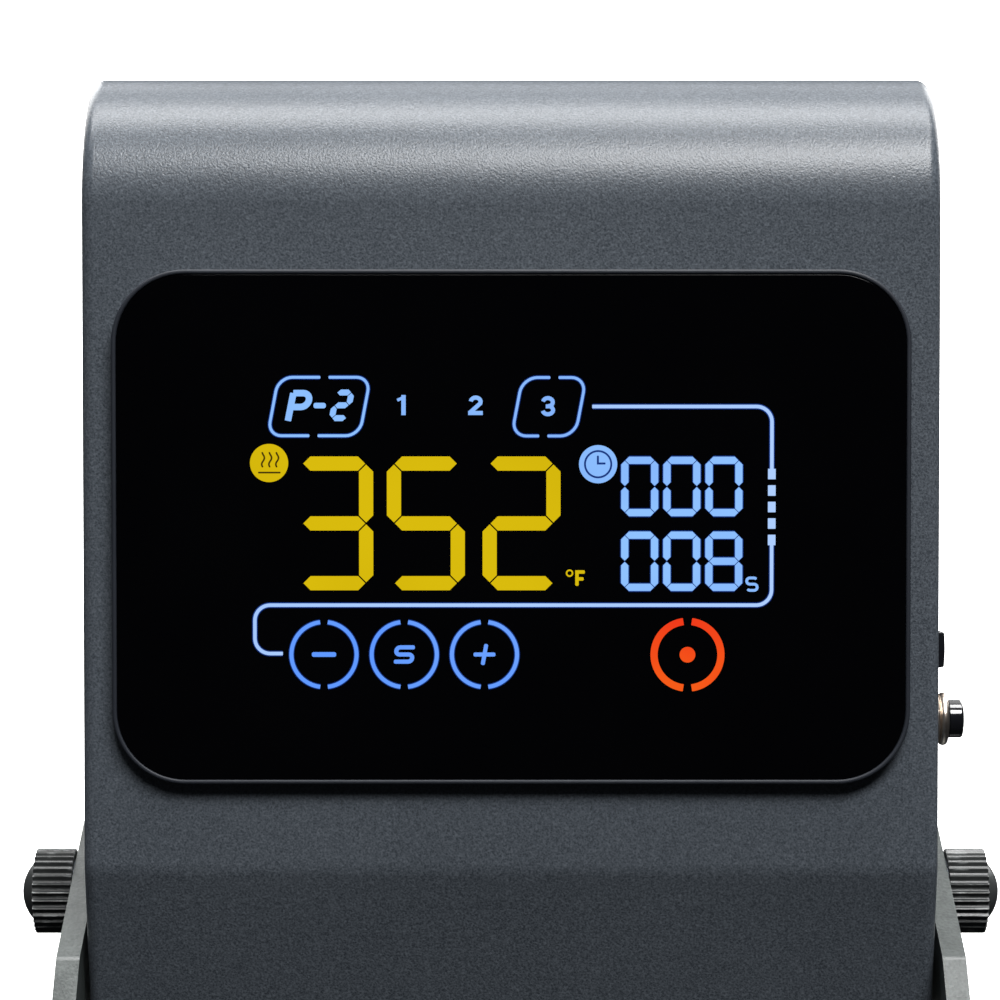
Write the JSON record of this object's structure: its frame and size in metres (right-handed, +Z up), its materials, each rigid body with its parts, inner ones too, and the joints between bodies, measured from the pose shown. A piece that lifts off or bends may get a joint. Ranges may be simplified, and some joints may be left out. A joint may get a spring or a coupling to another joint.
{
  "type": "tilting touch control head",
  "caption": "Rolled-top control enclosure with a proud glass touch panel, held between two cheeks by knurled clamp knobs so that it tilts on a bolted base plate.",
  "frame": {"origin": "centre of the four mounting holes on the underside of the base plate, straight below the tilt axis", "axes": "+Z up from the mounting surface; front and glass towards -Y, leaning back; +X towards the side with the rocker switch and reset button"},
  "size_m": [0.2166, 0.1511, 0.2308],
  "materials": {
    "shell_paint": "fine textured powder coat, dark grey",
    "yoke_paint": "fine textured powder coat, mid grey",
    "bezel_plastic": "satin blue-black",
    "display_glass": "polished black back-printed glass with lit symbols",
    "gasket_foam": "matt closed-cell foam",
    "lcd_glass": "polished",
    "white_plastic": "satin",
    "spring_brass": "bright",
    "circuit_board": "satin green solder mask",
    "zinc_steel": "zinc plated",
    "nickel_steel": "bright nickel",
    "black_steel": "black oxide",
    "friction_rubber": "matt",
    "ribbon_plastic": "satin grey",
    "core_iron": "varnished laminations",
    "coil_tape": "yellow polyester tape",
    "relay_plastic": "satin blue",
    "terminal_plastic": "satin green",
    "capacitor_sleeve": "shrink sleeve",
    "black_plastic": "moulded nylon",
    "gloss_black": "polished black"
  },
  "bodies": {
    "yoke": {"base_plate": "yoke_paint", "left_cheek": "yoke_paint", "right_cheek": "yoke_paint", "cheek_screws": "black_steel"},
    "head": {"front_shell": "shell_paint", "rear_cover": "shell_paint", "rear_cover_screws": "black_steel", "pivot_boss_left": "zinc_steel", "pivot_boss_right": "zinc_steel", "friction_washer_left": "friction_rubber", "friction_washer_right": "friction_rubber", "display_bezel": "bezel_plastic", "bezel_gasket": "gasket_foam", "touch_glass": "display_glass", "lcd_panel": "lcd_glass", "backlight": "white_plastic", "touch_springs": "spring_brass", "display_board": "circuit_board", "display_board_standoffs": "zinc_steel", "display_board_screws": "zinc_steel", "ribbon_cable": "ribbon_plastic", "ribbon_sockets": "white_plastic", "power_board": "circuit_board", "power_board_standoffs": "zinc_steel", "power_board_screws": "zinc_steel", "transformer_core": "core_iron", "transformer_coil": "coil_tape", "heater_relay": "relay_plastic", "terminal_block": "terminal_plastic", "capacitors": "capacitor_sleeve", "buzzer": "black_plastic", "cable_gland_body": "black_plastic", "cable_gland_nut": "black_plastic", "cable_gland_seal": "friction_rubber", "cable_gland_locknut": "black_plastic", "rocker_switch_body": "black_plastic", "breaker_body": "black_plastic", "breaker_washer": "nickel_steel", "breaker_ring_nut": "nickel_steel"},
    "left_clamp": {"clamp_washer_left": "zinc_steel"},
    "left_knob": {"knob_left": "gloss_black", "knob_cap_left": "gloss_black", "clamp_bolt_left": "zinc_steel"},
    "right_clamp": {"clamp_washer_right": "zinc_steel"},
    "right_knob": {"knob_right": "gloss_black", "knob_cap_right": "gloss_black", "clamp_bolt_right": "zinc_steel"},
    "power_rocker": {"rocker": "gloss_black"},
    "reset_key": {"reset_button": "gloss_black"}
  },
  "joints": [
    {"name": "head_tilt", "type": "hinge", "parent": "yoke", "child": "head", "pos_m": [0, 0, 0.058], "axis": [-1, 0, 0], "range_deg": [-20, 30]},
    {"name": "left_clamp_slide", "type": "slide", "parent": "head", "child": "left_clamp", "axis": [-1, 0, 0], "range_m": [0, 0.002]},
    {"name": "left_knob_turn", "type": "hinge", "parent": "left_clamp", "child": "left_knob", "pos_m": [-0.1, 0, 0.058], "axis": [-1, 0, 0], "range_deg": [0, 722]},
    {"name": "right_clamp_slide", "type": "slide", "parent": "head", "child": "right_clamp", "axis": [1, 0, 0], "range_m": [0, 0.002]},
    {"name": "right_knob_turn", "type": "hinge", "parent": "right_clamp", "child": "right_knob", "pos_m": [0.1, 0, 0.058], "axis": [1, 0, 0], "range_deg": [0, 722]},
    {"name": "power_rocker_tip", "type": "hinge", "parent": "head", "child": "power_rocker", "pos_m": [0.08875, 0.01854, 0.10893], "axis": [0, -0.342, -0.9397], "range_deg": [0, 24]},
    {"name": "reset_key_slide", "type": "slide", "parent": "head", "child": "reset_key", "axis": [1, 0, 0], "range_m": [0, 0.003]}
  ],
  "couplings": [
    {"joint": "left_knob_turn", "follows": "left_clamp_slide", "rad_per_m": 6283.2},
    {"joint": "right_knob_turn", "follows": "right_clamp_slide", "rad_per_m": 6283.2}
  ]
}
